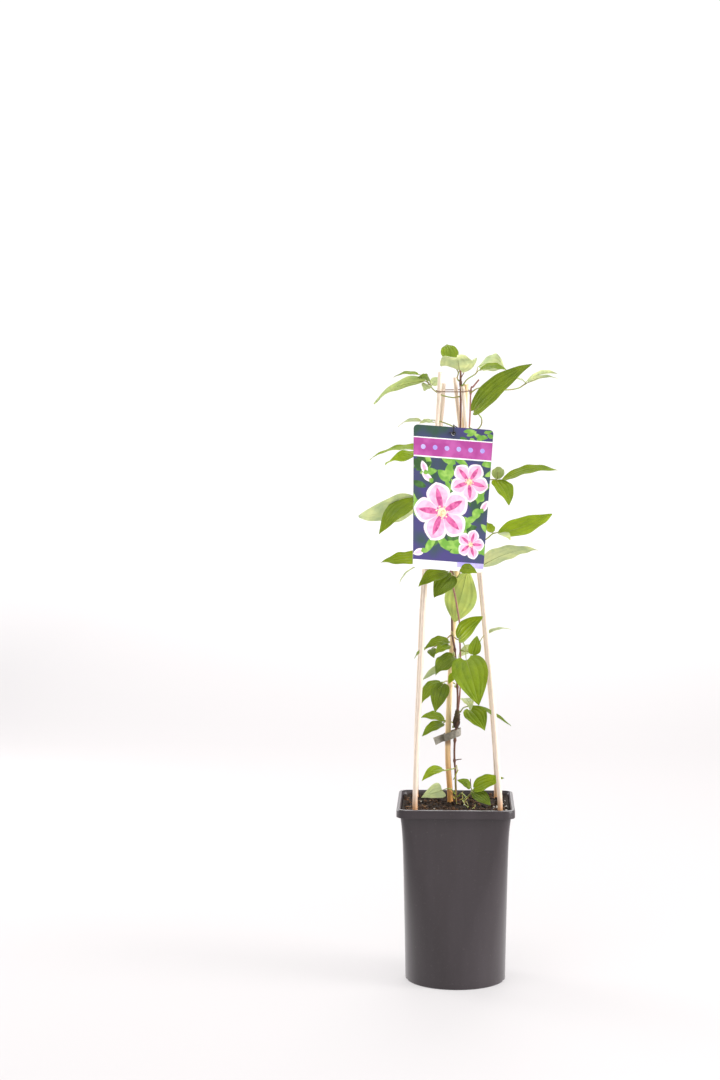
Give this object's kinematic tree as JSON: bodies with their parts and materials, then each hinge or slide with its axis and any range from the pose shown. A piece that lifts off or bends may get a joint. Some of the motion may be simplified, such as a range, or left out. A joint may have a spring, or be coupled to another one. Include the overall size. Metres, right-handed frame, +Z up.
{
  "type": "potted clematis",
  "caption": "Young climbing clematis in a deep square-topped nursery pot, trained up a pyramid of canes that a wire hoop holds together, with a plant label.",
  "frame": {"origin": "on the ground under the middle of the pot, at the centre of its base", "axes": "+Z up along the plant's height, +X to the viewer's right when the label faces the viewer, -Y towards the viewer"},
  "size_m": [0.2324, 0.154, 0.7537],
  "materials": {
    "pot_plastic": "moulded dark grey plastic, lightly satin",
    "peat": "dark damp peat with pale fibres, rough",
    "cane_wood": "pale dried bamboo cane, satin",
    "hoop_wire": "thin brown coated wire",
    "bark": "reddish brown woody stem, dull",
    "tying_tape": "soft grey-green plastic tape",
    "label_card": "printed plastic card, semi gloss",
    "tie_plastic": "thin black plastic tie",
    "leaf": "living green leaf, soft sheen"
  },
  "bodies": {
    "root": {"pot": "pot_plastic", "soil": "peat", "cane_front_left": "cane_wood", "cane_back_left": "cane_wood", "cane_front_right": "cane_wood", "cane_back_right": "cane_wood", "cane_middle": "cane_wood", "hoop": "hoop_wire", "vine_stems": "bark", "tying_tape": "tying_tape", "label": "label_card", "label_tie": "tie_plastic", "leaf_over_soil": "leaf", "leaf_low_left": "leaf", "shoot_low_right": "leaf", "spray_knot_left": "leaf", "spray_knot_right": "leaf", "spray_rise_left": "leaf", "leaf_before_cane": "leaf", "spray_mid_left": "leaf", "leaf_heart": "leaf", "spray_mid_right": "leaf", "spray_wing_left": "leaf", "leaf_bright": "leaf", "leaf_broad": "leaf", "spray_below_label": "leaf", "leaf_on_label": "leaf", "spray_left_low": "leaf", "leaf_right_low": "leaf", "spray_left_big": "leaf", "spray_right_mid": "leaf", "spray_right_top": "leaf", "spray_left_top": "leaf", "spray_label_head": "leaf", "spray_head_left": "leaf", "leaf_long_right": "leaf", "spray_head_right": "leaf", "spray_head_back": "leaf", "spray_head_top": "leaf", "spray_back_upper": "leaf", "spray_back_middle": "leaf", "spray_back_lower": "leaf"}
  },
  "joints": []
}
